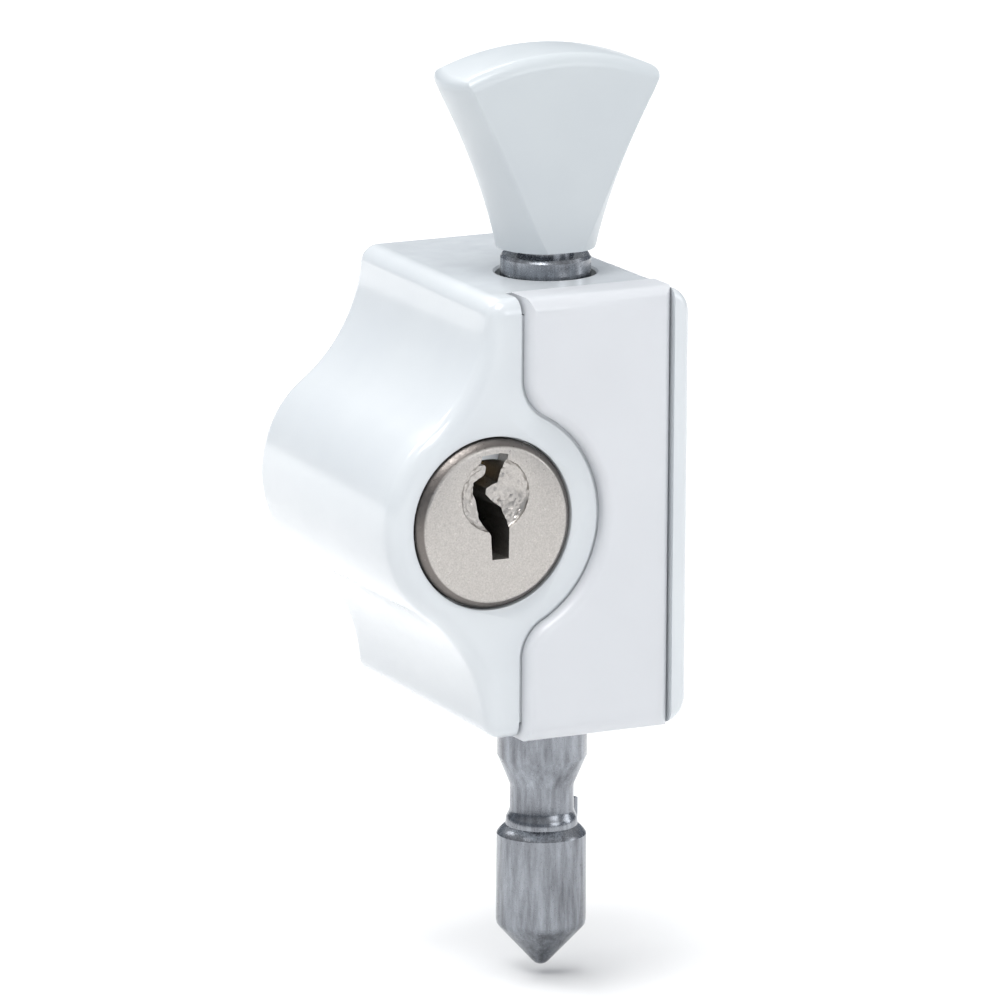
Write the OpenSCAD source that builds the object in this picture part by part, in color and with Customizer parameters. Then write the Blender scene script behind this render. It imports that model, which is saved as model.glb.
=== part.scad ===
// Keyed push-bolt lock for a window sash.
// +Z runs up the bolt, -Y is the front with the key cylinder, and the lock fastens to the
// sash by its back, the plane Y = 0. The bulge is on the -X side. The origin is on the
// back, in line with the bolt and level with the key cylinder.

/* [Casting] */
// Height of the casting
body_h = 39.2; // [38.8:0.1:40]
// Distance from the bolt axis to the plain side
right_side = 8.5; // [8.4:0.1:9]
// Distance from the bolt axis to the narrow parts of the bulged side
land_side = 10.5; // [10.4:0.1:10.8]
// Distance from the back to the rim round the key cylinder
rim_front = 28.7; // [28.6:0.1:29]
// Radius of the bulge beside the key cylinder
bulge_r = 10; // [9.8:0.1:10.4]
// Radius of the hollow shoulders above and below the bulge
shoulder_r = 14; // [12:0.5:14]
// Radius of the corners on the plain side
corner_r = 2.4; // [1.5:0.1:4]
// Draft of the bulged side, which narrows towards the back, in degrees
side_draft = 2.3; // [0:0.1:3]

/* [Front cover] */
// Distance from the back to the outside of the cover
cover_front = 30; // [29.9:0.1:30.4]
// Height of the cover
cover_h = 39.5; // [39.3:0.1:40]
// Distance from the bolt axis to the cover's plain edge
cover_edge = 6.6; // [6.5:0.1:6.8]
// How far the cover wraps over the top and bottom
cover_wrap = 4; // [3.6:0.1:4.2]
// Radius of the cover's upper and lower edges
cover_edge_r = 1.3; // [0.8:0.1:1.4]
// Gap along the seams
seam_gap = 0.15; // [0.1:0.05:0.2]
// Distance from the bolt axis to the straight part of the seam
seam_side = 7.65; // [7.6:0.05:7.7]
// Radius of the two bends in the seam
seam_bend_r = 4.1; // [3.5:0.1:4.5]

/* [Bolt] */
// Distance from the back to the bolt axis
bolt_depth = 18.3; // [18.2:0.1:18.5]
// Radius of the bolt
bolt_r = 4; // [3.95:0.05:4]
// Height of the top of the bolt's thick part
bolt_top = 21.2; // [20.8:0.1:22]
// Depth of the bolt's tip below the key axis
bolt_tip = 43.3; // [43:0.1:43.4]
// Travel of the bolt, which is also the distance between its two necks
bolt_travel = 24; // [23.8:0.1:24]
// Turn of the bolt about its axis, which places its lug, in degrees
bolt_turn = 14.4; // [0:0.1:20]

/* [Knob] */
// Height of the knob
knob_h = 17.6; // [14:0.1:20]
// Diameter of the knob at its foot
knob_foot = 8.8; // [8.6:0.1:9.4]
// Width of the knob at its top
knob_top = 19.8; // [16:0.1:21]
// Thickness of the knob at its foot
knob_foot_thick = 8.2; // [7:0.1:8.4]
// Thickness of the knob at its top
knob_thick = 8; // [4:0.1:8.4]
// Radius of the arc along the knob's top
knob_crown_r = 24; // [20:1:40]
// Turn of the knob about the bolt axis, in degrees
knob_turn = -2.5; // [-10:0.1:10]

/* [Key cylinder] */
// Distance from the bolt axis to the key axis
key_side = 10.3; // [10.2:0.05:10.4]
// Radius of the plug's face
face_r = 7.5; // [7.3:0.1:7.5]
// Radius of the plug's barrel
plug_r = 5.4; // [5.3:0.05:5.4]
// Radius of the dimple in the plug's face
dimple_r = 3.3; // [2.8:0.1:3.4]
// Distance between wafers
wafer_pitch = 2.6; // [2.4:0.1:2.8]

/* [Hidden] */
$fn = 96;
cut = 60;

// Places, worked out from the driving dimensions
half_h = body_h / 2;
bolt_y = -bolt_depth;
key_x = -key_side;
land_x = -land_side;
seam_x = -seam_side;
land_r = 10.1;
draft_start = 25;
draft_overrun = 3;
flange_step = 0.1;

// Bolt bore and its two bushes
mouth_r = 4.45;
bore_r = 4.25;
run_gap = 0.06;
bush_start = 8.5;
bush_end = half_h - 1.2;

// Front cover, its seat and its pegs
cover_wall = 1.45;
cover_lip = 1.5;
seat_gap = 0.1;
seat_y = cover_front - cover_wall - seat_gap;
lip_y = cover_front - cover_wrap - seam_gap;
flange_x = cover_edge + seam_gap;
peg_x = 4.1;
peg_z = 16.3;
peg_r = 1;
peg_len = 3.6;

// Back plate with its fixing holes, and the screws that hold the casting to it
plate_t = 1.5;
plate_x0 = -7.6;
plate_x1 = 6.2;
plate_half_h = 18;
plate_lobe_r = 7;
plate_gap = 0.1;
fixing_x = -1;
fixing_z = 13;
fixing_r = 2.25;
fixing_head_r = 4.3;
fixing_head_depth = 4;
screw_x = -5.95;
screw_z = 16.3;
screw_r = 1;
screw_head_r = 1.5;
screw_head_t = 1.4;
screw_seat = 26.7;

// Bolt profile below its lower neck's top edge
neck_top = -24.1;
neck_r = 2.85;
cone_len = 2.55;
neck_len = 2.45;
ledge_r = 3.2;
ledge_top = 5.6;
shoulder_foot = 6.4;
shoulder_edge = 7;
tip_r = 0.7;
tip_cone = 3.9;
lug_r = 3.9;
lug_w = 0.9;
lug_z0 = -30.4;
lug_h = 1.8;
stud_r = 2.5;
stud_len = 8;
knob_z = bolt_top + 0.7;
knob_flare = 0.57;

// Key plug, with depths measured from the back
face_y = 29.25;
face_t = 1.7;
face_chamfer = 0.7;
face_gap = 0.15;
plug_gap = 0.05;
barrel_end = 5.6;
tail_half = 1.2;
tail_end = 3.9;
clip_y = 6.5;
clip_t = 0.5;
clip_groove_r = 4.8;
clip_r = 6.1;
dimple_z = 2.65;
dimple_x = -0.1;
dimple_depth = 1;
key_slot_end = 9;
wafer_y = 24.6;
wafer_t = 1.1;
wafer_w = 4.6;
wafer_top = 4.75;
wafer_foot = -4.1;
wafer_gap = 0.06;
wafer_groove_r = 6.3;
wafer_count = 5;
spring_foot = -5.1;
spring_room_r = 0.6;

// The window in a wafer, from the key axis
window_left = 1.95;
window_right = 1.45;
window_foot = -3.3;
window_top_max = 3.9;
window_step = 0.2;

// The screw that holds the cam to the plug
cam_screw_r = 0.8;
cam_screw_end = 7;
cam_screw_head_r = 1.25;
cam_screw_head_t = 0.75;

// Drive cam and locking slide
pocket_y = 6.6;
pocket_r = 6.5;
pocket_x1 = 6.25;
pocket_z0 = -6;
pocket_z1 = 4.8;
cam_y0 = 3.7;
cam_y1 = 5.4;
cam_r = 4.2;
boss_r = 2.6;
boss_end = 2.1;
boss_throw = 0.955;
boss_offset = boss_throw * cos(45);
boss_gap = 0.08;
slide_y0 = 2;
slide_t = 1.5;
slide_x0 = -11.5;
slide_shoulder = -4.5;
slide_z0 = -5.3;
slide_z1 = 4.3;
finger_x = 4.45;
finger_w = 1.5;
finger_z = -3.7;
finger_half = 0.65;
finger_end = 21.1;
slide_gap = 0.3;
slide_travel = 1.35;
spring_r = 0.8;
spring_wire = 0.17;
spring_z = 2.6;

// The keyway, seen from the front, around the key axis
keyway = [
    [-1.4, 6.2], [0.4, 6.35], [1.15, 6.2], [0.95, 5.2], [0.55, 3.6], [-0.5, 3.1],
    [-0.6, 2.6], [0.1, 1.9], [0.9, 1.3], [1.3, 0.1], [1.25, -3.1], [-0.35, -3.1],
    [-0.5, -0.9], [-1.35, 0.5], [-1.65, 2.4], [-1.9, 2.8], [-1.9, 3.8], [-0.85, 4.3],
    [-0.7, 5], [-0.85, 5.25], [-1.6, 5.3]
];

// An outline in Y and Z, extruded along +X
module along_x(x, length) {
    translate([x, 0, 0]) rotate([90, 0, 90]) linear_extrude(height = length) children();
}

// An outline in X and Z, extruded towards the front between two depths
module along_y(depth0, depth1) {
    translate([0, -depth0, 0]) rotate([90, 0, 0])
        linear_extrude(height = depth1 - depth0) children();
}

// A round bar between two depths
module round_y(x, z, depth0, depth1, r) {
    translate([x, -depth1, z]) rotate([-90, 0, 0]) cylinder(r = r, h = depth1 - depth0);
}

// A box between two depths
module box_y(x0, x1, z0, z1, depth0, depth1) {
    translate([x0, -depth1, z0]) cube([x1 - x0, depth1 - depth0, z1 - z0]);
}

// Points along an arc between two angles
function arc(x, z, r, a0, a1, steps) =
    [for (i = [0:steps]) let (a = a0 + (a1 - a0) * i / steps) [x + r * cos(a), z + r * sin(a)]];

// The bulged side seen from the front, from its top to its bottom and past them by a margin
function bulged_side(margin) =
    let (
        centre_x = land_x - shoulder_r,
        centre_z = sqrt(pow(bulge_r + shoulder_r, 2) - pow(key_x - centre_x, 2)),
        lean = atan2(centre_z, key_x - centre_x)
    )
    concat(
        [[land_x, half_h + margin]],
        arc(centre_x, centre_z, shoulder_r, 0, -lean, 14),
        arc(key_x, 0, bulge_r, 181 - lean, 179 + lean, 24),
        arc(centre_x, -centre_z, shoulder_r, lean, 0, 14),
        [[land_x, -half_h - margin]]
    );

// The casting seen from the front: a straight right side, and a bulge on the left
module casting_outline() {
    corner_x = right_side - corner_r;
    corner_z = half_h - corner_r;
    polygon(concat(
        arc(corner_x, corner_z, corner_r, 0, 90, 8),
        bulged_side(0),
        arc(corner_x, -corner_z, corner_r, -90, 0, 8)
    ));
}

// The rim round the key cylinder and all that lies left of it, grown by a gap
module land_outline(grow) {
    centre_x = seam_x + seam_bend_r;
    centre_z = sqrt(pow(land_r + seam_bend_r, 2) - pow(centre_x - key_x, 2));
    lean = atan2(centre_z, centre_x - key_x);
    bend = seam_bend_r - grow;
    polygon(concat(
        [[-cut, -cut], [seam_x + grow, -cut]],
        arc(centre_x, -centre_z, bend, 180, 182 - lean, 8),
        arc(key_x, 0, land_r + grow, -lean, lean, 32),
        arc(centre_x, centre_z, bend, lean - 182, -180, 8),
        [[seam_x + grow, cut], [-cut, cut]]
    ));
}

// The cover seen from the side, with its rounded upper and lower edges
module cover_section() {
    edge_y = cover_edge_r - cover_front;
    edge_z = cover_h / 2 - cover_edge_r;
    back_y = cover_wrap - cover_front;
    polygon(concat(
        [[back_y, cover_h / 2]],
        arc(edge_y, edge_z, cover_edge_r, 90, 180, 6),
        arc(edge_y, -edge_z, cover_edge_r, 180, 270, 6),
        [[back_y, -cover_h / 2]]
    ));
}

// The back plate, seen from the front, grown by a gap
module plate_outline(grow) {
    translate([plate_x0 - grow, -plate_half_h - grow])
        square([plate_x1 - plate_x0 + 2 * grow, 2 * (plate_half_h + grow)]);
    translate([key_x, 0]) circle(r = plate_lobe_r + grow);
}

// A coil spring along Z, as a wire of six sides swept round a helix
module coil(r, wire, length, turns) {
    sides = 6;
    per_turn = 14;
    rings = turns * per_turn;
    rise = length - 2 * wire;
    points = [for (i = [0:rings]) let (a = 360 * i / per_turn, z = wire + rise * i / rings)
        for (j = [0:sides - 1]) let (b = 360 * j / sides)
            [(r + wire * cos(b)) * cos(a), (r + wire * cos(b)) * sin(a), z + wire * sin(b)]];
    skin = [for (i = [0:rings - 1]) for (j = [0:sides - 1]) let (k = (j + 1) % sides)
        [i * sides + j, i * sides + k, (i + 1) * sides + k, (i + 1) * sides + j]];
    start = [for (j = [0:sides - 1]) sides - 1 - j];
    finish = [for (j = [0:sides - 1]) rings * sides + j];
    polyhedron(points, concat(skin, [start, finish]));
}

// The step that the front cover sits on
module cover_seat() {
    lip_z = cover_h / 2 - cover_lip - seat_gap;
    difference() {
        union() {
            box_y(-cut, flange_x, -cut, cut, seat_y, cut);
            for (side = [0, 1]) mirror([0, 0, side]) box_y(-cut, flange_x, lip_z, cut, lip_y, cut);
        }
        along_y(-cut, cut) land_outline(0);
    }
}

// Bores of the bolt and the key plug, with the grooves that hold the wafers when locked
module casting_bores() {
    grooves = wafer_count * wafer_pitch;
    groove_depth = wafer_y + wafer_pitch / 2;
    groove_half = wafer_w / 2 + 0.2;
    translate([0, bolt_y, -cut]) cylinder(r = bore_r, h = 2 * cut);
    for (side = [0, 1]) mirror([0, 0, side])
        translate([0, bolt_y, bush_start]) cylinder(r = mouth_r, h = cut);
    round_y(key_x, 0, 1, cut, plug_r + plug_gap);
    round_y(key_x, 0, face_y - face_t - 0.15, cut, face_r + face_gap);
    box_y(key_x - groove_half, key_x + groove_half, 0, wafer_groove_r,
          groove_depth - grooves, groove_depth);
    box_y(key_x - groove_half, key_x + groove_half, -wafer_groove_r, 0,
          groove_depth - grooves, groove_depth);
}

// The room for the cam and the slide, the finger's channel and the plate's recess
module casting_pockets() {
    round_y(key_x, 0, -1, pocket_y, pocket_r);
    box_y(key_x, pocket_x1, pocket_z0, pocket_z1, -1, slide_y0 + slide_t + slide_gap);
    box_y(finger_x - slide_travel - slide_gap, pocket_x1,
          finger_z - finger_half - slide_gap, finger_z + finger_half + slide_gap,
          -1, finger_end + slide_gap);
    along_y(-1, plate_t) plate_outline(plate_gap);
}

module casting_holes() {
    for (side = [-1, 1]) {
        round_y(fixing_x, side * fixing_z, -1, fixing_head_depth, fixing_head_r);
        round_y(screw_x, side * screw_z, -1, cut, screw_r + 0.15);
        round_y(screw_x, side * screw_z, screw_seat, cut, screw_head_r + 0.1);
        round_y(peg_x, side * peg_z, seat_y - peg_len, cut, peg_r + 0.05);
    }
}

// What the draft takes off the bulged side, behind the depth where it starts
module draft_cut() {
    translate([0, -draft_start, 0]) rotate([0, 0, -side_draft])
        along_y(-cut, draft_overrun)
            polygon(concat(bulged_side(1), [[-cut, -half_h - 1], [-cut, half_h + 1]]));
}

// The casting before its holes, with the flange standing proud of the rim
module casting_blank() {
    difference() {
        along_y(0, cover_front - flange_step) casting_outline();
        draft_cut();
        box_y(-cut, flange_x, -cut, cut, rim_front, cut);
    }
}

module body_casting() {
    color("white") difference() {
        casting_blank();
        cover_seat();
        casting_bores();
        casting_pockets();
        casting_holes();
    }
}

module front_cover() {
    color("gainsboro") {
        difference() {
            along_x(-cut, cut + cover_edge) cover_section();
            box_y(-cut - 1, cut, cover_lip - cover_h / 2, cover_h / 2 - cover_lip,
                  0, cover_front - cover_wall);
            along_y(-cut, cut) land_outline(seam_gap);
        }
        for (side = [-1, 1])
            round_y(peg_x, side * peg_z, seat_y - peg_len + 0.2, cover_front - 1, peg_r);
    }
}

module back_plate() {
    color("silver") difference() {
        along_y(0, plate_t) plate_outline(0);
        for (side = [-1, 1]) {
            round_y(fixing_x, side * fixing_z, -1, plate_t + 1, fixing_r);
            round_y(screw_x, side * screw_z, -1, plate_t + 1, screw_r + 0.03);
        }
    }
}

module body_screws() {
    color("silver") for (side = [-1, 1]) difference() {
        union() {
            round_y(screw_x, side * screw_z, 0.2, screw_seat + 0.5, screw_r);
            round_y(screw_x, side * screw_z, screw_seat, screw_seat + screw_head_t, screw_head_r);
        }
        box_y(screw_x - 1.1, screw_x + 1.1, side * screw_z - 0.2, side * screw_z + 0.2,
              screw_seat + 0.8, cut);
    }
}

// A thin lining for the bolt's bore, between two heights
module bolt_bush(z0, z1) {
    color("ivory") translate([0, bolt_y, z0]) difference() {
        cylinder(r = mouth_r, h = z1 - z0);
        translate([0, 0, -1]) cylinder(r = bolt_r + run_gap, h = z1 - z0 + 2);
    }
}

// What is cut away round one neck: a cone, a neck, and a ledge with a square shoulder
module neck_groove(z) {
    rotate_extrude() polygon([
        [bolt_r, z], [neck_r, z - cone_len], [neck_r, z - cone_len - neck_len],
        [ledge_r, z - ledge_top], [ledge_r, z - shoulder_foot],
        [bolt_r, z - shoulder_edge], [cut, z - shoulder_edge], [cut, z]
    ]);
}

module bolt() {
    color("darkgray") translate([0, bolt_y, 0]) rotate([0, 0, bolt_turn]) {
        difference() {
            union() {
                translate([0, 0, tip_cone - bolt_tip])
                    cylinder(r = bolt_r, h = bolt_top + bolt_tip - tip_cone);
                translate([0, 0, -bolt_tip]) cylinder(r1 = tip_r, r2 = bolt_r, h = tip_cone);
            }
            neck_groove(neck_top);
            neck_groove(neck_top + bolt_travel);
        }
        translate([neck_r - 0.4, -lug_w / 2, lug_z0]) cube([lug_r - neck_r + 0.4, lug_w, lug_h]);
        translate([0, 0, bolt_top - 0.5]) cylinder(r = stud_r, h = stud_len + 0.5);
    }
}

// Radius of the knob's cheeks and its half thickness by height, and the sag of its crown
function knob_side(h) =
    (knob_foot + (knob_top - knob_foot) * (knob_flare * h + (1 - knob_flare) * h * h)) / 2;
function knob_half(h) = (knob_foot_thick + (knob_thick - knob_foot_thick) * h) / 2;
function knob_sag(x) = knob_crown_r - sqrt(knob_crown_r * knob_crown_r - x * x);

// The front half of a ring round the knob: the share of its width, and of its cheek's angle
function half_ring(cheek, flat) = concat(
    [for (i = [0:cheek]) [-1, i / cheek]],
    [for (i = [1:flat - 1]) [2 * i / flat - 1, 1]],
    [for (i = [0:cheek]) [1, 1 - i / cheek]]
);

// A point of a ring, whose cheeks are round and whose faces are flat
function knob_point(p, h) = let (r = knob_side(h), a = p[1] * asin(knob_half(h) / r))
    [p[0] * r * cos(a), r * sin(a)];

// A fan-shaped knob: a flared round body with two flat faces and a crowned top
module knob_blank() {
    rings = 16;
    front = half_ring(5, 12);
    last = len(front) - 1;
    n = 2 * last;
    top = rings * n;
    ring = [for (j = [0:n - 1]) j <= last ? concat(front[j], [-1]) : concat(front[n - j], [1])];
    points = [for (i = [0:rings]) let (h = i / rings) for (p = ring) let (q = knob_point(p, h))
        [q[0], p[2] * q[1], h * (knob_h - knob_sag(knob_point(p, 1)[0]))]];
    sides = [for (i = [0:rings - 1]) for (j = [0:n - 1]) let (k = (j + 1) % n)
        [i * n + j, i * n + k, (i + 1) * n + k, (i + 1) * n + j]];
    foot = [for (j = [0:n - 1]) n - 1 - j];
    crown = [for (j = [1:last - 2]) [top + j, top + j + 1, top + n - j - 1, top + n - j]];
    ends = [[top, top + 1, top + n - 1], [top + last - 1, top + last, top + last + 1]];
    polyhedron(points, concat(sides, [foot], crown, ends));
}

module knob() {
    color("lightgray") translate([0, bolt_y, knob_z]) rotate([0, 0, knob_turn]) difference() {
        knob_blank();
        translate([0, 0, -1]) cylinder(r = stud_r + 0.02, h = stud_len + 0.6);
    }
}

module key_plug() {
    color("silver") difference() {
        union() {
            round_y(key_x, 0, face_y - face_t, face_y - face_chamfer, face_r);
            translate([key_x, face_chamfer - face_y, 0]) rotate([90, 0, 0])
                cylinder(r1 = face_r, r2 = face_r - face_chamfer, h = face_chamfer);
            round_y(key_x, 0, barrel_end, face_y - face_t, plug_r);
            box_y(key_x - tail_half, key_x + tail_half, -tail_half, tail_half,
                  tail_end, barrel_end + 0.5);
        }
        translate([key_x, 0, 0]) {
            along_y(face_y - face_t - 0.4, cut) polygon(keyway);
            along_y(key_slot_end, cut) intersection() {
                polygon(keyway);
                translate([-3, -3.3]) square([6, 7.2]);
            }
        }
        translate([key_x + dimple_x, dimple_depth - face_y, dimple_z]) rotate([90, 0, 0])
            cylinder(r1 = dimple_r - 1.5, r2 = dimple_r, h = dimple_depth + 0.01);
        difference() {
            round_y(key_x, 0, clip_y - clip_t - 0.05, clip_y + 0.05, plug_r + 1);
            round_y(key_x, 0, 0, cut, clip_groove_r);
        }
        for (i = [0:wafer_count - 1]) {
            depth = wafer_y - i * wafer_pitch;
            box_y(key_x - wafer_w / 2 - wafer_gap, key_x + wafer_w / 2 + wafer_gap,
                  wafer_foot - 0.1, cut, depth - wafer_t / 2 - wafer_gap,
                  depth + wafer_t / 2 + wafer_gap);
            translate([key_x, -depth, spring_foot]) cylinder(r = spring_room_r, h = 2);
        }
        round_y(key_x, 0, 0, cam_screw_end + 0.2, cam_screw_r + 0.02);
    }
}

// A spring clip round the plug's rear groove
module plug_clip() {
    color("silver") difference() {
        round_y(key_x, 0, clip_y - clip_t, clip_y, clip_r);
        round_y(key_x, 0, 0, cut, clip_groove_r + 0.03);
        box_y(key_x - 1.6, key_x + 1.6, 0, cut, 0, cut);
    }
}

// A disc on the plug's tail with an eccentric boss that moves the slide
module drive_cam() {
    color("silver") difference() {
        union() {
            round_y(key_x, 0, cam_y0, cam_y1, cam_r);
            round_y(key_x + boss_offset, -boss_offset, boss_end, cam_y0 + 0.5, boss_r);
        }
        box_y(key_x - tail_half - 0.03, key_x + tail_half + 0.03,
              -tail_half - 0.03, tail_half + 0.03, tail_end - 0.1, cut);
        round_y(key_x, 0, 0, cut, cam_screw_r + 0.05);
        round_y(key_x, 0, 0, boss_end + 0.9, cam_screw_head_r + 0.05);
    }
}

module cam_screw() {
    color("silver") difference() {
        union() {
            round_y(key_x, 0, boss_end + 0.5, cam_screw_end, cam_screw_r);
            round_y(key_x, 0, boss_end + 0.1, boss_end + 0.1 + cam_screw_head_t, cam_screw_head_r);
        }
        box_y(key_x - 1, key_x + 1, -0.15, 0.15, 0, boss_end + 0.4);
    }
}

// A fork behind the cam whose long finger lies beside the bolt, drawn in its released place
module locking_slide() {
    wall_x = key_x + boss_offset + boss_r + boss_gap;
    slot_z0 = -boss_throw - boss_r - 0.2;
    slot_z1 = boss_r - boss_offset + 0.3;
    z0 = finger_z - finger_half;
    z1 = finger_z + finger_half;
    color("darkgray") {
        box_y(wall_x, slide_shoulder, slide_z0, slide_z1, slide_y0, slide_y0 + slide_t);
        box_y(slide_x0, wall_x + 0.1, slot_z1, slide_z1, slide_y0, slide_y0 + slide_t);
        box_y(slide_x0, wall_x + 0.1, slide_z0, slot_z0, slide_y0, slide_y0 + slide_t);
        box_y(slide_shoulder - 0.1, finger_x + finger_w, z0, z1, slide_y0, slide_y0 + slide_t);
        box_y(finger_x, finger_x + finger_w, z0, z1, slide_y0, finger_end);
    }
}

// The spring that pushes the slide into the bolt's neck, drawn pressed short
module slide_spring() {
    color("silver") translate([slide_shoulder + 0.05, -slide_y0 - slide_t / 2, spring_z])
        rotate([0, 90, 0]) coil(spring_r, spring_wire, pocket_x1 - slide_shoulder - 0.1, 8);
}

// A wafer, held level with the plug as the right key holds it
module wafer(i) {
    window_top = window_top_max - window_step * (i % 3);
    depth = wafer_y - i * wafer_pitch;
    color("gold") difference() {
        box_y(key_x - wafer_w / 2, key_x + wafer_w / 2, wafer_foot, wafer_top,
              depth - wafer_t / 2, depth + wafer_t / 2);
        box_y(key_x - window_left, key_x + window_right, window_foot, window_top, 0, cut);
    }
}

module wafer_spring(i) {
    color("silver") translate([key_x, i * wafer_pitch - wafer_y, spring_foot + 0.02])
        coil(0.38, 0.1, wafer_foot - spring_foot - 0.04, 3);
}

body_casting();
front_cover();
back_plate();
body_screws();
bolt_bush(bush_start, bush_end);  // upper_bush
bolt_bush(-bush_end, -bush_start);  // lower_bush
bolt();
knob();
key_plug();
plug_clip();
drive_cam();
cam_screw();
locking_slide();
slide_spring();
wafer(0);  // wafer_1
wafer(1);  // wafer_2
wafer(2);  // wafer_3
wafer(3);  // wafer_4
wafer(4);  // wafer_5
wafer_spring(0);  // wafer_spring_1
wafer_spring(1);  // wafer_spring_2
wafer_spring(2);  // wafer_spring_3
wafer_spring(3);  // wafer_spring_4
wafer_spring(4);  // wafer_spring_5
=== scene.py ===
import math

import bmesh
import bpy
from mathutils import Matrix, Vector, noise


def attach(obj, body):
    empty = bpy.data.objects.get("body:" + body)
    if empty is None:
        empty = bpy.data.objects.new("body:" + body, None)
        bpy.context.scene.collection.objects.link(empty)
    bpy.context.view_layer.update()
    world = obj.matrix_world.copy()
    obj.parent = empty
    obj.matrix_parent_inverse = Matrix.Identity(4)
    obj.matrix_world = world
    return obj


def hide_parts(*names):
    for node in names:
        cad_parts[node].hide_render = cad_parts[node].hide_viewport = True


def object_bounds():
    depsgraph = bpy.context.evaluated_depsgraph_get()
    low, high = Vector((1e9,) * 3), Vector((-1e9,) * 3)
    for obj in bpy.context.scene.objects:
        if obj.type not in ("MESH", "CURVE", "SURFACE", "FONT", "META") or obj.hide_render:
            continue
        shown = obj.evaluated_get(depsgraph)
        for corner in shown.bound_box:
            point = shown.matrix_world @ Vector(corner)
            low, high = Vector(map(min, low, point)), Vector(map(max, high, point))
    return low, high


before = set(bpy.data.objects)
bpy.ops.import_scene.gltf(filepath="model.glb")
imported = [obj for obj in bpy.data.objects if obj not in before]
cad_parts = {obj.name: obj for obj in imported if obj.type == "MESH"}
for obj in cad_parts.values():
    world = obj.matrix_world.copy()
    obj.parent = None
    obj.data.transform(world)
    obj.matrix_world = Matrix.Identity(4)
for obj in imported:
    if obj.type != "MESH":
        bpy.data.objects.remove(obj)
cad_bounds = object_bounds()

MM = 0.001

# ---------------------------------------------------------------- camera
# The view's azimuth and elevation, its roll, and where the frame's centre lies
AZIMUTH, ELEVATION, ROLL = -27.115, 12.821, 0.365
DISTANCE, LENS = 900.0, 366.2
AIM = Vector((8.495, -18.268, 0.0))
AIM_RIGHT, AIM_UP = 11.42, 1.83

# ---------------------------------------------------------------- sizes in millimetres
CASE_HALF, CASE_RIGHT, LAND_X = 19.6, 8.5, -10.5
CORNER_R, LAND_R, BULGE_R, SHOULDER_R = 2.4, 1.7, 10.0, 14.0
CASE_EDGE, FLANGE_EDGE, BORE_LIP = 1.5, 1.15, 0.2
DRAFT, DRAFT_START, DRAFT_SIDE = 2.3, 25.0, -6.0
RIM_Y, FLANGE_Y, FLANGE_X = 28.7, 29.9, 6.75
KEY_X, BOLT_Y = -10.3, -18.3
SEAM_X, SEAM_R, SEAM_BEND, SEAM_GAP = -7.65, 10.1, 4.1, 0.15
COVER_Y, COVER_HALF, COVER_X, COVER_GAP = 30.0, 19.75, 6.68, 0.3
COVER_WALL, COVER_LIP, COVER_WRAP, SEAT_GAP = 1.45, 1.5, 4.0, 0.1
COVER_TOP_EDGE, COVER_SEAM_EDGE, COVER_PLAIN_EDGE = 1.9, 0.85, 0.1
MOUTH_R, PLUG_BORE_R, FACE_SEAT_R, FACE_SEAT_Y = 4.45, 5.45, 7.65, 27.4
PLATE_X0, PLATE_X1, PLATE_HALF, PLATE_LOBE_R = -7.6, 6.2, 18.0, 7.0
PLATE_GAP, PLATE_T = 0.1, 1.5

# NEAR is how close a point must be to count as on a plane, and FAR is beyond the whole lock
NEAR, FAR = 0.01, 60.0
KEY_AXIS = Matrix.Translation((KEY_X, 0, 0)) @ Matrix.Rotation(math.radians(90), 4, "X")
BOLT_AXIS = Matrix.Translation((0, BOLT_Y, 0))


# ---------------------------------------------------------------- mesh helpers
def arc(x, z, r, start, stop, steps):
    """Points along an arc, from one angle to another in degrees."""
    turn = [math.radians(start + (stop - start) * i / steps) for i in range(steps + 1)]
    return [(x + r * math.cos(t), z + r * math.sin(t)) for t in turn]


def as_object(bm, name):
    """A new object from a bmesh in millimetres."""
    bmesh.ops.recalc_face_normals(bm, faces=bm.faces[:])
    bmesh.ops.scale(bm, vec=(MM, MM, MM), verts=bm.verts[:])
    mesh = bpy.data.meshes.new(name)
    bm.to_mesh(mesh)
    bm.free()
    obj = bpy.data.objects.new(name, mesh)
    bpy.context.scene.collection.objects.link(obj)
    return obj


def prism(name, outline, depth0, depth1):
    """An outline in X and Z, extruded towards the front between two depths."""
    bm = bmesh.new()
    rings = [[bm.verts.new((x, -d, z)) for x, z in outline] for d in (depth0, depth1)]
    bm.faces.new(rings[0])
    bm.faces.new(rings[1][::-1])
    count = len(outline)
    for i in range(count):
        k = (i + 1) % count
        bm.faces.new((rings[0][i], rings[0][k], rings[1][k], rings[1][i]))
    return as_object(bm, name)


def lathe(name, profile, steps=128, turn=None):
    """A closed solid turned about Z from points of radius and height; turn places it."""
    bm = bmesh.new()
    rows = []
    for r, z in profile:
        if r < 1e-6:
            rows.append([bm.verts.new((0, 0, z))])
        else:
            rows.append([bm.verts.new((x, y, z)) for x, y in arc(0, 0, r, 0, 360, steps)[:-1]])
    for low, high in zip(rows, rows[1:]):
        for i in range(steps):
            k = (i + 1) % steps
            ring = [low[i % len(low)], low[k % len(low)], high[k % len(high)], high[i % len(high)]]
            bm.faces.new(list(dict.fromkeys(ring)))
    if turn:
        bmesh.ops.transform(bm, matrix=turn, verts=bm.verts[:])
    return as_object(bm, name)


def box(name, low, high):
    """A box between two corners in millimetres."""
    bm = bmesh.new()
    bmesh.ops.create_cube(bm, size=1)
    size = [b - a for a, b in zip(low, high)]
    centre = [(a + b) / 2 for a, b in zip(low, high)]
    bmesh.ops.scale(bm, vec=size, verts=bm.verts[:])
    bmesh.ops.translate(bm, vec=centre, verts=bm.verts[:])
    return as_object(bm, name)


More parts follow.
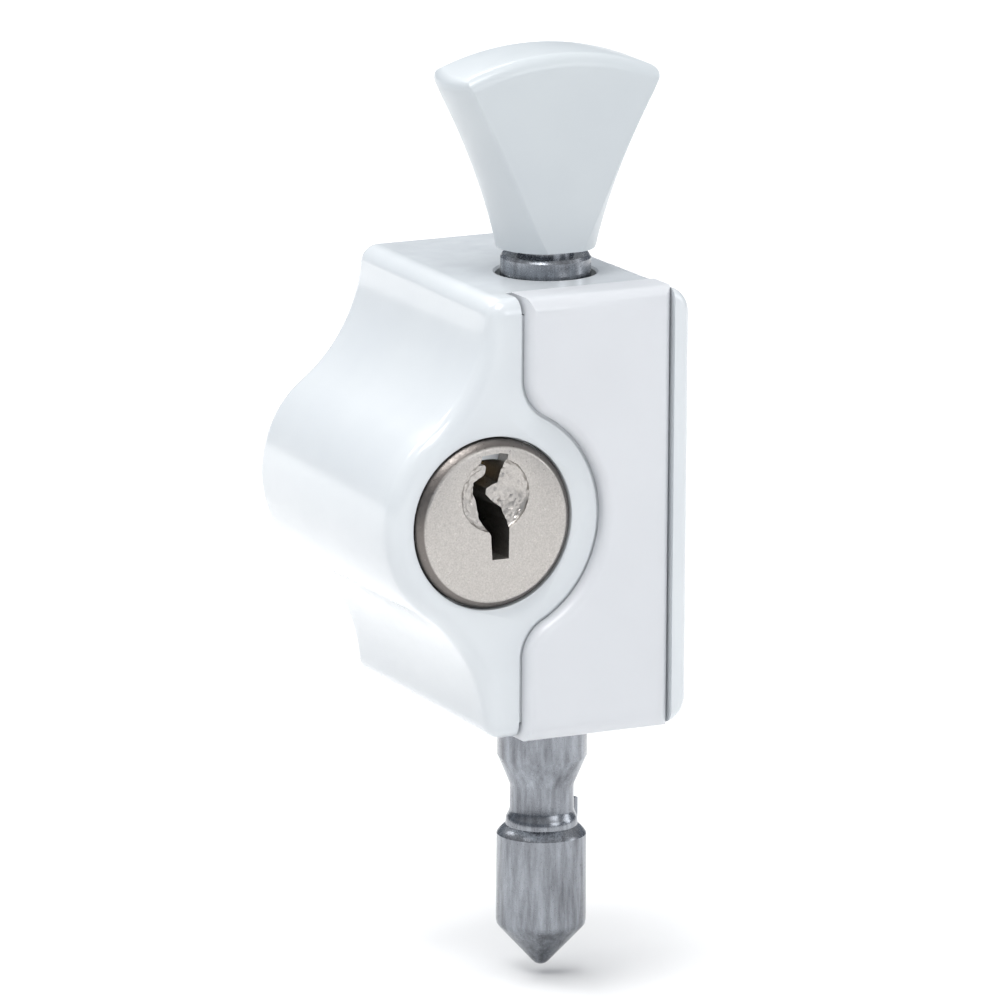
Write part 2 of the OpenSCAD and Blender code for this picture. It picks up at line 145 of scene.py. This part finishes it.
def settle(obj):
    """Applies an object's modifiers to its mesh."""
    graph = bpy.context.evaluated_depsgraph_get()
    mesh = bpy.data.meshes.new_from_object(obj.evaluated_get(graph))
    obj.modifiers.clear()
    obj.data = mesh


def combine(obj, tool, operation="DIFFERENCE"):
    """Cuts the tool from the object or joins it to the object, and deletes the tool."""
    step = obj.modifiers.new("combine", "BOOLEAN")
    step.object = tool
    step.operation = operation
    step.solver = "EXACT"
    settle(obj)
    bpy.data.objects.remove(tool)


def round_edges(obj, radius_of, segments=8):
    """Rounds each edge by the radius that radius_of(a, b) gives in millimetres, if it gives one."""
    mesh = obj.data
    radii = []
    for edge in mesh.edges:
        a, b = [mesh.vertices[i].co / MM for i in edge.vertices]
        radii.append(radius_of(a, b) or 0.0)
    widest = max(radii)
    weight = mesh.attributes.get("bevel_weight_edge")
    weight = weight or mesh.attributes.new("bevel_weight_edge", "FLOAT", "EDGE")
    for item, radius in zip(weight.data, radii):
        item.value = radius / widest
    step = obj.modifiers.new("round", "BEVEL")
    step.limit_method = "WEIGHT"
    step.width = widest * MM
    step.segments = segments
    step.use_clamp_overlap = False
    settle(obj)


def split_at(obj, y):
    """Adds a loop of edges round an object where a plane across Y meets it."""
    bm = bmesh.new()
    bm.from_mesh(obj.data)
    everything = bm.verts[:] + bm.edges[:] + bm.faces[:]
    bmesh.ops.bisect_plane(bm, geom=everything, plane_co=(0, y * MM, 0), plane_no=(0, 1, 0))
    bm.to_mesh(obj.data)
    bm.free()


def smooth(obj, angle=32):
    """Shades smooth, with sharp edges where faces meet at more than an angle in degrees."""
    for face in obj.data.polygons:
        face.use_smooth = True
    obj.data.set_sharp_from_angle(angle=math.radians(angle))


def finish_piece(obj, body, slot, material, *nodes):
    """Gives a piece its material and its body, and hides the CAD nodes that it stands for. The slot is not
    used.
    """
    obj.data.materials.clear()
    obj.data.materials.append(material)
    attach(obj, body)
    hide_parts(*nodes)


# ---------------------------------------------------------------- materials
class Nodes:
    """Builds one procedural material."""

    def __init__(self, name):
        self.material = bpy.data.materials.new(name)
        self.material.use_nodes = True
        self.tree = self.material.node_tree
        self.shader = self.tree.nodes["Principled BSDF"]
        self.coords = self.tree.nodes.new("ShaderNodeTexCoord").outputs["Object"]

    def link(self, source, target):
        self.tree.links.new(source, target)

    def mapped(self, scale):
        """Object coordinates, scaled along each axis."""
        node = self.tree.nodes.new("ShaderNodeMapping")
        node.vector_type = "TEXTURE"
        node.inputs["Scale"].default_value = [1 / s for s in scale]
        self.link(self.coords, node.inputs["Vector"])
        return node.outputs["Vector"]

    def noise(self, size_mm, detail=3.0, roughness=0.5, vector=None):
        """Noise whose blobs are about size_mm across."""
        node = self.tree.nodes.new("ShaderNodeTexNoise")
        node.inputs["Scale"].default_value = 1 / (size_mm * MM)
        node.inputs["Detail"].default_value = detail
        node.inputs["Roughness"].default_value = roughness
        self.link(vector or self.coords, node.inputs["Vector"])
        return node.outputs["Fac"]

    def ramp(self, source, stops):
        """A colour ramp with stops of position and colour."""
        node = self.tree.nodes.new("ShaderNodeValToRGB")
        self.link(source, node.inputs["Fac"])
        while len(node.color_ramp.elements) < len(stops):
            node.color_ramp.elements.new(0.5)
        for element, (place, colour) in zip(node.color_ramp.elements, stops):
            element.position = place
            element.color = (*colour, 1)
        return node.outputs["Color"]

    def spread(self, source, low, high, start=0.3, stop=0.7):
        """Maps a value from start..stop to low..high."""
        node = self.tree.nodes.new("ShaderNodeMapRange")
        self.link(source, node.inputs["Value"])
        for name, value in zip(("From Min", "From Max", "To Min", "To Max"), (start, stop, low, high)):
            node.inputs[name].default_value = value
        return node.outputs["Result"]

    def bump(self, *layers):
        """Stacks bumps given as (height, depth in millimetres)."""
        normal = None
        for height, depth in layers:
            node = self.tree.nodes.new("ShaderNodeBump")
            node.inputs["Strength"].default_value = 1.0
            node.inputs["Distance"].default_value = depth * MM
            self.link(height, node.inputs["Height"])
            if normal:
                self.link(normal, node.inputs["Normal"])
            normal = node.outputs["Normal"]
        self.link(normal, self.shader.inputs["Normal"])

    def looks(self, colour, roughness, **plain):
        """Links colour and roughness, and sets the shader's plain values."""
        self.link(colour, self.shader.inputs["Base Color"])
        self.link(roughness, self.shader.inputs["Roughness"])
        for name, value in plain.items():
            self.shader.inputs[name.replace("_", " ")].default_value = value
        return self.material


def paint(name, light, dark, roughness, coat):
    """Stoved enamel: a faint orange peel under a clear gloss."""
    n = Nodes(name)
    cloud = n.noise(9, 2)
    peel = n.noise(0.9, 2, 0.4)
    n.bump((peel, 0.0025))
    return n.looks(
        n.ramp(cloud, [(0.3, dark), (0.7, light)]),
        n.spread(n.noise(3, 3), roughness - 0.05, roughness + 0.05),
        Coat_Weight=coat, Coat_Roughness=0.08, IOR=1.5,
    )


def metal(name, light, dark, low, high, grain_mm, depth, stretch=(1, 1, 1)):
    """Bare metal with a grain that may be stretched along an axis."""
    n = Nodes(name)
    streak = n.noise(grain_mm, 6, 0.6, n.mapped(stretch))
    fine = n.noise(grain_mm / 4, 3, 0.6)
    n.bump((streak, depth), (fine, depth / 4))
    return n.looks(
        n.ramp(streak, [(0.3, dark), (0.7, light)]),
        n.spread(fine, low, high),
        Metallic=1.0,
    )


def plug_metal(name, light, dark, painted_shade_colour, start_mm, stop_mm):
    """Sandblasted nickel, with shade painted as a dark ring beyond a distance from the plug's axis, over
    the face's chamfer.
    """
    n = Nodes(name)
    grain = n.noise(0.16, 6, 0.6)
    fleck = n.noise(0.35, 2, 0.7)
    n.bump((grain, 0.014))
    flat = n.tree.nodes.new("ShaderNodeVectorMath")
    flat.operation = "MULTIPLY_ADD"
    flat.inputs[1].default_value = (1, 0, 1)
    flat.inputs[2].default_value = (-KEY_X * MM, 0, 0)
    n.link(n.coords, flat.inputs[0])
    radius = n.tree.nodes.new("ShaderNodeVectorMath")
    radius.operation = "LENGTH"
    n.link(flat.outputs["Vector"], radius.inputs[0])
    # Painted shade: beyond start_mm from the axis the colour turns dark, over the chamfer and round the
    # plug's rim
    painted_shade_mask = n.spread(radius.outputs["Value"], 0, 1, start_mm * MM, stop_mm * MM)
    mix = n.tree.nodes.new("ShaderNodeMix")
    mix.data_type = "RGBA"
    n.link(painted_shade_mask, mix.inputs["Factor"])
    n.link(n.ramp(grain, [(0.3, dark), (0.7, light)]), mix.inputs["A"])
    mix.inputs["B"].default_value = (*painted_shade_colour, 1)
    return n.looks(mix.outputs["Result"], n.spread(fleck, 0.26, 0.5), Metallic=1.0)


def plastic(name, light, dark):
    """Moulded nylon with a fine matt grain."""
    n = Nodes(name)
    grain = n.noise(0.2, 3)
    n.bump((grain, 0.008))
    return n.looks(n.ramp(n.noise(2, 3), [(0.3, dark), (0.7, light)]), n.spread(grain, 0.45, 0.6))


WHITE = paint("white_enamel", (0.615, 0.645, 0.665), (0.59, 0.62, 0.645), 0.22, 0.45)
COVER_WHITE = paint("cover_enamel", (0.60, 0.615, 0.64), (0.585, 0.60, 0.625), 0.36, 0.15)
KNOB_PAINT = paint("knob_enamel", (0.51, 0.545, 0.565), (0.485, 0.52, 0.545), 0.36, 0.2)
BOLT_STEEL = metal(
    "bolt_steel", (0.33, 0.35, 0.38), (0.145, 0.15, 0.165), 0.17, 0.32, 0.75, 0.0022, stretch=(1, 1, 0.16)
)
# The plug's nickel, with shade painted dark on the chamfer of its face
NICKEL = plug_metal(
    "cylinder_nickel", (0.53, 0.505, 0.48), (0.39, 0.37, 0.35),
    painted_shade_colour=(0.17, 0.155, 0.145), start_mm=6.86, stop_mm=6.98,
)
ZINC = metal("zinc_plate", (0.60, 0.61, 0.62), (0.48, 0.49, 0.51), 0.32, 0.5, 0.8, 0.006)
# The brass is painted darker than brass is, as shade on the wafers deep in the keyway
BRASS_WITH_PAINTED_SHADE = metal("wafer_brass", (0.30, 0.22, 0.11), (0.18, 0.13, 0.07), 0.35, 0.5, 0.5, 0.006)
SPRING = metal("spring_steel", (0.55, 0.56, 0.57), (0.35, 0.36, 0.37), 0.25, 0.4, 0.2, 0.003)
NYLON = plastic("bush_nylon", (0.78, 0.76, 0.70), (0.72, 0.70, 0.64))


# ---------------------------------------------------------------- casting
def case_outline():
    """The casting seen from the front, anticlockwise from its upper right corner."""
    centre_x = LAND_X - SHOULDER_R
    centre_z = math.sqrt((BULGE_R + SHOULDER_R) ** 2 - (KEY_X - centre_x) ** 2)
    lean = math.degrees(math.atan2(centre_z, KEY_X - centre_x))
    corner_x, corner_z = CASE_RIGHT - CORNER_R, CASE_HALF - CORNER_R
    land_z = CASE_HALF - LAND_R
    land_x = centre_x + math.sqrt((SHOULDER_R + LAND_R) ** 2 - (land_z - centre_z) ** 2)
    tip = math.degrees(math.atan2(land_z - centre_z, land_x - centre_x))
    return (
        arc(corner_x, corner_z, CORNER_R, 0, 90, 12)
        + arc(land_x, land_z, LAND_R, 90, 179 + tip, 12)
        + arc(centre_x, centre_z, SHOULDER_R, tip - 1, -lean, 40)
        + arc(KEY_X, 0, BULGE_R, 181 - lean, 179 + lean, 64)
        + arc(centre_x, -centre_z, SHOULDER_R, lean, 1 - tip, 40)
        + arc(land_x, -land_z, LAND_R, 181 - tip, 270, 12)
        + arc(corner_x, -corner_z, CORNER_R, -90, 0, 12)
    )


def seam_line(grow):
    """The seam between the rim and the cover, from the bottom to the top, moved by a gap."""
    centre_x = SEAM_X + SEAM_BEND
    centre_z = math.sqrt((SEAM_R + SEAM_BEND) ** 2 - (centre_x - KEY_X) ** 2)
    lean = math.degrees(math.atan2(centre_z, centre_x - KEY_X))
    bend = SEAM_BEND - grow
    return (
        arc(centre_x, -centre_z, bend, 180, 182 - lean, 16)
        + arc(KEY_X, 0, SEAM_R + grow, -lean, lean, 64)
        + arc(centre_x, centre_z, bend, lean - 182, -180, 16)
    )


def flange_edge(a, b):
    """The radius of an edge of the casting's foremost face."""
    return FLANGE_EDGE if max(a.y, b.y) < NEAR - FLANGE_Y else 0.0


def case_edge(a, b):
    """The radius of the rim's and the back's edges."""
    on_rim = max(abs(a.y + RIM_Y), abs(b.y + RIM_Y)) < NEAR and max(a.x, b.x) < FLANGE_X - NEAR
    on_back = max(abs(a.y), abs(b.y)) < NEAR
    return CASE_EDGE if on_rim or on_back else 0.0


def draft_side(body):
    """Leans the bulged side towards the bolt, from a depth near the front to the back."""
    slope = math.tan(math.radians(DRAFT))
    for v in body.data.vertices:
        if v.co.x < DRAFT_SIDE * MM:
            v.co.x += max(0.0, v.co.y + DRAFT_START * MM) * slope


def cut_cover_seat(body):
    """Cuts the step that the cover lies on, and the notches for its lips."""
    step_y = COVER_Y - COVER_WALL - SEAT_GAP
    lip_y = COVER_Y - COVER_WRAP - 2 * SEAM_GAP
    lip_z = COVER_HALF - COVER_LIP - SEAT_GAP
    seat = [(SEAM_X, -FAR), *seam_line(0), (SEAM_X, FAR), (FLANGE_X, FAR), (FLANGE_X, -FAR)]
    combine(body, prism("tool", seat, step_y, FAR))
    for side in (-1, 1):
        near, far = side * lip_z, side * FAR
        lip = [(SEAM_X, near), (FLANGE_X, near), (FLANGE_X, far), (SEAM_X, far)]
        combine(body, prism("tool", lip, lip_y, FAR))


def cut_plug_bore(body):
    """Cuts the plug's bore and the wider seat of its face, with a rounded lip."""
    combine(body, lathe("tool", [
        (0, -1), (PLUG_BORE_R, -1), (PLUG_BORE_R, FACE_SEAT_Y), (FACE_SEAT_R, FACE_SEAT_Y),
        (FACE_SEAT_R, RIM_Y - BORE_LIP), (FACE_SEAT_R + BORE_LIP * 0.3, RIM_Y - BORE_LIP * 0.3),
        (FACE_SEAT_R + BORE_LIP, RIM_Y), (FACE_SEAT_R + BORE_LIP, FAR), (0, FAR),
    ], 160, KEY_AXIS))


def cut_bolt_bore(body):
    """Cuts the bolt's bore from top to bottom, with a rounded lip at each mouth."""
    combine(body, lathe("tool", [
        (0, -FAR), (MOUTH_R + BORE_LIP, -FAR), (MOUTH_R + BORE_LIP, -CASE_HALF),
        (MOUTH_R + BORE_LIP * 0.3, BORE_LIP * 0.7 - CASE_HALF), (MOUTH_R, BORE_LIP - CASE_HALF),
        (MOUTH_R, CASE_HALF - BORE_LIP), (MOUTH_R + BORE_LIP * 0.3, CASE_HALF - BORE_LIP * 0.7),
        (MOUTH_R + BORE_LIP, CASE_HALF), (MOUTH_R + BORE_LIP, FAR), (0, FAR),
    ], 128, BOLT_AXIS))


def cut_plate_recess(body):
    """Cuts the recess that the back plate lies in, with its lobe behind the plug."""
    left, right, half = PLATE_X0 - PLATE_GAP, PLATE_X1 + PLATE_GAP, PLATE_HALF + PLATE_GAP
    lobe_r = PLATE_LOBE_R + PLATE_GAP
    lobe = math.degrees(math.acos((left - KEY_X) / lobe_r))
    recess = [(right, -half), (right, half), (left, half)]
    recess += arc(KEY_X, 0, lobe_r, lobe, 360 - lobe, 64)
    recess += [(left, -half)]
    combine(body, prism("tool", recess, -1, PLATE_T))


def casting():
    """The white body: rim, bulge and flange, with its seat, bores and the recess at the back."""
    body = prism("casting_shell", case_outline(), 0, FLANGE_Y)
    round_edges(body, flange_edge)
    combine(body, box("tool", (-FAR, -FAR, -FAR), (FLANGE_X, -RIM_Y, FAR)))
    split_at(body, -DRAFT_START)
    round_edges(body, case_edge)
    draft_side(body)
    cut_cover_seat(body)
    cut_plug_bore(body)
    cut_bolt_bore(body)
    cut_plate_recess(body)
    smooth(body)
    finish_piece(body, "casing", "white_casting", WHITE, "body_casting")


# ---------------------------------------------------------------- front cover
def cover_edge(a, b):
    """The radius of an edge of the cover's front face."""
    if abs(a.y + COVER_Y) > NEAR or abs(b.y + COVER_Y) > NEAR:
        return 0.0
    if abs(a.z) > COVER_HALF - NEAR and abs(b.z) > COVER_HALF - NEAR:
        return COVER_TOP_EDGE
    if min(a.x, b.x) > COVER_X - NEAR:
        return COVER_PLAIN_EDGE
    return COVER_SEAM_EDGE


def cover():
    """The satin cover: proud of the rim, rounded along its edges, and hollow behind."""
    left = SEAM_X + COVER_GAP
    outline = [(left, -COVER_HALF), *seam_line(COVER_GAP), (left, COVER_HALF)]
    outline += [(COVER_X, COVER_HALF), (COVER_X, -COVER_HALF)]
    piece = prism("cover_shell", outline, COVER_Y - COVER_WRAP, COVER_Y)
    round_edges(piece, cover_edge)
    inner = COVER_HALF - COVER_LIP
    combine(piece, box("tool", (-FAR, COVER_WALL - COVER_Y, -inner), (FAR, FAR, inner)))
    smooth(piece)
    finish_piece(piece, "casing", "white_cover", COVER_WHITE, "front_cover")


# ---------------------------------------------------------------- knob
KNOB_Z, KNOB_H, KNOB_TURN = 21.9, 17.6, -2.5
KNOB_FOOT, KNOB_TOP, KNOB_FLARE, KNOB_CROWN = 8.8, 20.7, 0.57, 24.0
KNOB_FOOT_THICK, KNOB_THICK, KNOB_EDGE, KNOB_CREASE = 8.2, 8.0, 1.3, 0.35


def knob_ring(h, inset):
    """A level of the knob: round cheeks, a soft crease and flat faces, moved in by an inset."""
    side = (KNOB_FOOT + (KNOB_TOP - KNOB_FOOT) * (KNOB_FLARE * h + (1 - KNOB_FLARE) * h * h)) / 2
    half = (KNOB_FOOT_THICK + (KNOB_THICK - KNOB_FOOT_THICK) * h) / 2
    side, half, crease = side - inset, half - inset, max(KNOB_CREASE - inset, 0.05)
    centre_x = math.sqrt((side - crease) ** 2 - (half - crease) ** 2)
    meet = math.degrees(math.atan2(half - crease, centre_x))
    flat = 24
    right = arc(0, 0, side, 0, meet, 12) + arc(centre_x, half - crease, crease, meet, 90, 8)[1:]
    top = [(centre_x * (1 - 2 * i / flat), half) for i in range(1, flat)]
    front = right + top + [(-x, y) for x, y in reversed(right)]
    return front + [(x, -y) for x, y in reversed(front[1:-1])]


def knob_levels():
    """Levels from the foot to the crown: height as a share, inset, and drop below the crown."""
    rows, turns = 48, 10
    levels = [(i / rows, 0.0, 0.0) for i in range(rows) if i / rows * KNOB_H < KNOB_H - 1.5 * KNOB_EDGE]
    for i in range(turns + 1):
        t = math.radians(90 * i / turns)
        drop = KNOB_EDGE * (1 - math.sin(t))
        levels.append((1 - drop / KNOB_H, KNOB_EDGE * (1 - math.cos(t)), drop))
    return levels


def close_crown(bm, ring):
    """Closes the crown with strips between its front and back edges."""
    count, far = len(ring), len(ring) // 2
    bm.faces.new((ring[0], ring[1], ring[-1]))
    for j in range(1, far - 1):
        bm.faces.new((ring[j], ring[j + 1], ring[count - j - 1], ring[count - j]))
    bm.faces.new((ring[far - 1], ring[far], ring[far + 1]))


def knob():
    """A flared round body with two flat faces and a crowned top with a soft edge."""
    widest = knob_ring(1.0, 0.0)
    bm = bmesh.new()
    rings = []
    for h, inset, drop in knob_levels():
        ring = []
        for (x, y), (end_x, _) in zip(knob_ring(h, inset), widest):
            reach = x if drop or h == 1 else end_x
            sag = KNOB_CROWN - math.sqrt(KNOB_CROWN ** 2 - reach ** 2)
            height = KNOB_H - sag - drop if drop or h == 1 else h * (KNOB_H - sag)
            ring.append(bm.verts.new((x, y, height)))
        rings.append(ring)
    count = len(rings[0])
    for low, high in zip(rings, rings[1:]):
        for j in range(count):
            k = (j + 1) % count
            bm.faces.new((low[j], low[k], high[k], high[j]))
    bm.faces.new(rings[0][::-1])
    close_crown(bm, rings[-1])
    place = Matrix.Translation((0, BOLT_Y, KNOB_Z)) @ Matrix.Rotation(math.radians(KNOB_TURN), 4, "Z")
    bmesh.ops.transform(bm, matrix=place, verts=bm.verts[:])
    piece = as_object(bm, "knob_fan")
    smooth(piece, 50)
    finish_piece(piece, "bolt", "pale_knob", KNOB_PAINT, "knob")


# ---------------------------------------------------------------- bolt
BOLT_R, NECK_R, LEDGE_R, BOLT_TURN = 4.0, 2.85, 3.2, 14.4
BOLT_TIP, CONE_TOP, BOLT_TOP, STEM_R, STEM_TOP = -43.3, -39.1, 21.2, 2.5, 29.5
NECK_TOP, TRAVEL = -24.1, 24.0
LUG_REACH, LUG_HALF, LUG_Z0, LUG_Z1 = 3.9, 0.45, -30.4, -28.6


def neck_profile(top):
    """Radius and height from a full-width shoulder up over a ledge and a neck, to a cone's top."""
    return [
        (BOLT_R, top - 7.15), (BOLT_R - 0.12, top - 6.95), (LEDGE_R + 0.25, top - 6.5),
        (LEDGE_R, top - 6.35), (LEDGE_R + 0.02, top - 6.1), (LEDGE_R - 0.03, top - 5.65),
        (LEDGE_R - 0.12, top - 5.5), (NECK_R + 0.08, top - 5.15), (NECK_R, top - 4.9),
        (NECK_R, top - 2.75), (NECK_R + 0.06, top - 2.5), (BOLT_R - 0.12, top - 0.2), (BOLT_R, top + 0.05),
    ]


def bolt():
    """The bolt with its pointed end, two necks with a ledge under each, and a small lug."""
    profile = [(0, BOLT_TIP), (0.45, BOLT_TIP + 0.06), (0.7, BOLT_TIP + 0.25)]
    profile += [(BOLT_R - 0.25, CONE_TOP - 0.65), (BOLT_R - 0.07, CONE_TOP - 0.4), (BOLT_R, CONE_TOP)]
    profile += neck_profile(NECK_TOP) + neck_profile(NECK_TOP + TRAVEL)
    profile += [(BOLT_R, BOLT_TOP - 0.3), (BOLT_R - 0.2, BOLT_TOP)]
    profile += [(STEM_R, BOLT_TOP), (STEM_R, STEM_TOP), (0, STEM_TOP)]
    place = BOLT_AXIS @ Matrix.Rotation(math.radians(BOLT_TURN), 4, "Z")
    piece = lathe("bolt_bar", profile, 160, place)
    lug = box("tool", (NECK_R - 0.4, -LUG_HALF, LUG_Z0), (LUG_REACH, LUG_HALF, LUG_Z1))
    lug.data.transform(Matrix.Scale(MM, 4) @ place @ Matrix.Scale(1 / MM, 4))
    combine(piece, lug, "UNION")
    smooth(piece, 30)
    finish_piece(piece, "bolt", "bolt_steel", BOLT_STEEL, "bolt")


# ---------------------------------------------------------------- key plug
# The keyway's corners, from the plug's axis
KEYWAY = [
    (-1.4, 6.2), (0.4, 6.35), (1.15, 6.2), (0.95, 5.2), (0.55, 3.6), (-0.5, 3.1), (-0.6, 2.6),
    (0.1, 1.9), (0.9, 1.3), (1.3, 0.1), (1.25, -3.1), (-0.35, -3.1), (-0.5, -0.9), (-1.35, 0.5),
    (-1.65, 2.4), (-1.9, 2.8), (-1.9, 3.8), (-0.85, 4.3), (-0.7, 5.0), (-0.85, 5.25), (-1.6, 5.3),
]


BARREL_R, BARREL_BACK, FACE_R, FACE_Y, HEAD, CHAMFER = 5.4, 5.6, 7.5, 29.25, 1.7, 0.7
DIMPLE_R, DIMPLE_DEPTH, DIMPLE_X, DIMPLE_Z = 3.3, 0.95, -0.1, 2.65
KEYWAY_BACK, KEYWAY_FRONT = 9.0, 32.0
TAIL_HALF, TAIL_BACK, TAIL_FRONT = 1.2, 3.9, 5.9


def dimple_tool():
    """A shallow, roughened ball that cuts the dimple round the keyway."""
    bm = bmesh.new()
    bmesh.ops.create_icosphere(bm, subdivisions=5, radius=1)
    for v in bm.verts:
        rough = noise.noise(v.co * 7) * 0.06 + noise.noise(v.co * 24) * 0.05
        depth = v.co.y * (DIMPLE_DEPTH + rough * 2.4)
        v.co = Vector((v.co.x * DIMPLE_R, depth, v.co.z * DIMPLE_R)) * (1 + rough * 0.25)
        v.co += Vector((KEY_X + DIMPLE_X, -FACE_Y, DIMPLE_Z))
    return as_object(bm, "tool")


def plug():
    """The plug with its chamfered face, a rough dimple, the keyway and a square tail."""
    head, rim = FACE_Y - HEAD, FACE_Y - CHAMFER
    profile = [(0, BARREL_BACK), (BARREL_R, BARREL_BACK), (BARREL_R, head), (FACE_R - 0.05, head)]
    profile += [(FACE_R, head + 0.05), (FACE_R, rim - 0.06), (FACE_R - 0.04, rim + 0.05)]
    profile += [(FACE_R - CHAMFER + 0.08, FACE_Y - 0.07), (FACE_R - CHAMFER - 0.08, FACE_Y), (0, FACE_Y)]
    piece = lathe("plug_barrel", profile, 160, KEY_AXIS)
    combine(piece, dimple_tool())
    combine(piece, prism("tool", [(KEY_X + x, z) for x, z in KEYWAY], KEYWAY_BACK, KEYWAY_FRONT))
    low = (KEY_X - TAIL_HALF, -TAIL_FRONT, -TAIL_HALF)
    high = (KEY_X + TAIL_HALF, -TAIL_BACK, TAIL_HALF)
    combine(piece, box("tool", low, high), "UNION")
    smooth(piece, 30)
    finish_piece(piece, "plug", "nickel", NICKEL, "key_plug")


# ---------------------------------------------------------------- the pieces kept from CAD
def dress(material, *names):
    """Gives CAD nodes a better material."""
    for name in names:
        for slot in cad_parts[name].material_slots:
            slot.material = material


# ---------------------------------------------------------------- light, floor and camera
LIGHT_TARGET = Vector((0, -0.015, 0))
FLOOR_DROP, FLOOR_SIZE = 0.6, 3
# Each light's name, place in metres, width and height in metres, and power in watts
LIGHTS = [
    ("key_light", (-0.7, -0.5, 2.5), (1.5, 1.5), 58),
    ("back_light", (-0.4, 2.2, 2.4), (2.4, 1.4), 56),
    ("front_light", (0.9, -2.6, 1.0), (1.3, 1.2), 13),
    ("right_light", (2.4, -0.9, 0.9), (0.9, 1.4), 10),
]
# The sky's colours, by the height of the direction, from level to straight up
SKY_STRENGTH = 0.60
SKY = [
    (0.0, (0.62, 0.65, 0.70)), (0.10, (0.46, 0.51, 0.58)), (0.28, (0.50, 0.55, 0.62)),
    (0.50, (0.95, 0.97, 1.0)), (1.0, (1.0, 1.0, 1.0)),
]


def softbox(name, place, size, power):
    """A large area light aimed at the lock."""
    data = bpy.data.lights.new(name, "AREA")
    data.shape = "RECTANGLE"
    data.size, data.size_y = size
    data.energy = power
    light = bpy.data.objects.new(name, data)
    bpy.context.scene.collection.objects.link(light)
    light.location = place
    light.rotation_mode = "QUATERNION"
    light.rotation_quaternion = (LIGHT_TARGET - Vector(place)).to_track_quat("-Z", "Y")


def stage_floor():
    """A pale floor just under the bolt's tip."""
    low = cad_bounds[0].z - FLOOR_DROP * MM
    bm = bmesh.new()
    bmesh.ops.create_grid(bm, x_segments=1, y_segments=1, size=FLOOR_SIZE)
    bmesh.ops.translate(bm, vec=(0, 0, low), verts=bm.verts[:])
    mesh = bpy.data.meshes.new("floor")
    bm.to_mesh(mesh)
    bm.free()
    floor = bpy.data.objects.new("floor", mesh)
    bpy.context.scene.collection.objects.link(floor)
    n = Nodes("floor_paper")
    paper = n.ramp(n.noise(60, 2), [(0.3, (0.85, 0.85, 0.85)), (0.7, (0.87, 0.87, 0.87))])
    floor.data.materials.append(n.looks(paper, n.spread(n.noise(5), 0.85, 0.95)))


def sky():
    """A pale sky, grey low down and white above."""
    world = bpy.data.worlds.new("sky")
    bpy.context.scene.world = world
    world.use_nodes = True
    tree = world.node_tree
    direction = tree.nodes.new("ShaderNodeTexCoord").outputs["Generated"]
    height = tree.nodes.new("ShaderNodeSeparateXYZ")
    tree.links.new(direction, height.inputs["Vector"])
    ramp = tree.nodes.new("ShaderNodeValToRGB")
    stops = ramp.color_ramp.elements
    stops.remove(stops[0])
    while len(stops) < len(SKY):
        stops.new(1.0)
    for stop, (place, colour) in zip(stops, SKY):
        stop.position = place
        stop.color = (*colour, 1)
    tree.links.new(height.outputs["Z"], ramp.inputs["Fac"])
    tree.links.new(ramp.outputs["Color"], tree.nodes["Background"].inputs["Color"])
    tree.nodes["Background"].inputs["Strength"].default_value = SKY_STRENGTH


def camera():
    """The camera, turned round the lock by azimuth and elevation and rolled a little."""
    a, e, roll = map(math.radians, (AZIMUTH, ELEVATION, ROLL))
    back = Vector((math.sin(a) * math.cos(e), -math.cos(a) * math.cos(e), math.sin(e)))
    side = Vector((math.cos(a), math.sin(a), 0))
    up = back.cross(side)
    right = side * math.cos(roll) + up * math.sin(roll)
    top = up * math.cos(roll) - side * math.sin(roll)
    place = AIM - right * AIM_RIGHT - top * AIM_UP + back * DISTANCE
    data = bpy.data.cameras.new("camera")
    data.lens, data.sensor_width = LENS, 36.0
    data.clip_start, data.clip_end = 0.05, 20
    cam = bpy.data.objects.new("camera", data)
    bpy.context.scene.collection.objects.link(cam)
    turned = Matrix((right, top, back)).transposed().to_4x4()
    cam.matrix_world = Matrix.Translation(place * MM) @ turned
    bpy.context.scene.camera = cam


bpy.context.scene.view_settings.view_transform = "Standard"
camera()
casting()
cover()
knob()
bolt()
plug()
dress(ZINC, "back_plate", "body_screws", "drive_cam", "cam_screw", "locking_slide")
dress(NYLON, "upper_bush", "lower_bush")
dress(SPRING, "plug_clip", "slide_spring", *["wafer_spring_%d" % i for i in range(1, 6)])
dress(BRASS_WITH_PAINTED_SHADE, *["wafer_%d" % i for i in range(1, 6)])
stage_floor()
sky()
for light in LIGHTS:
    softbox(*light)
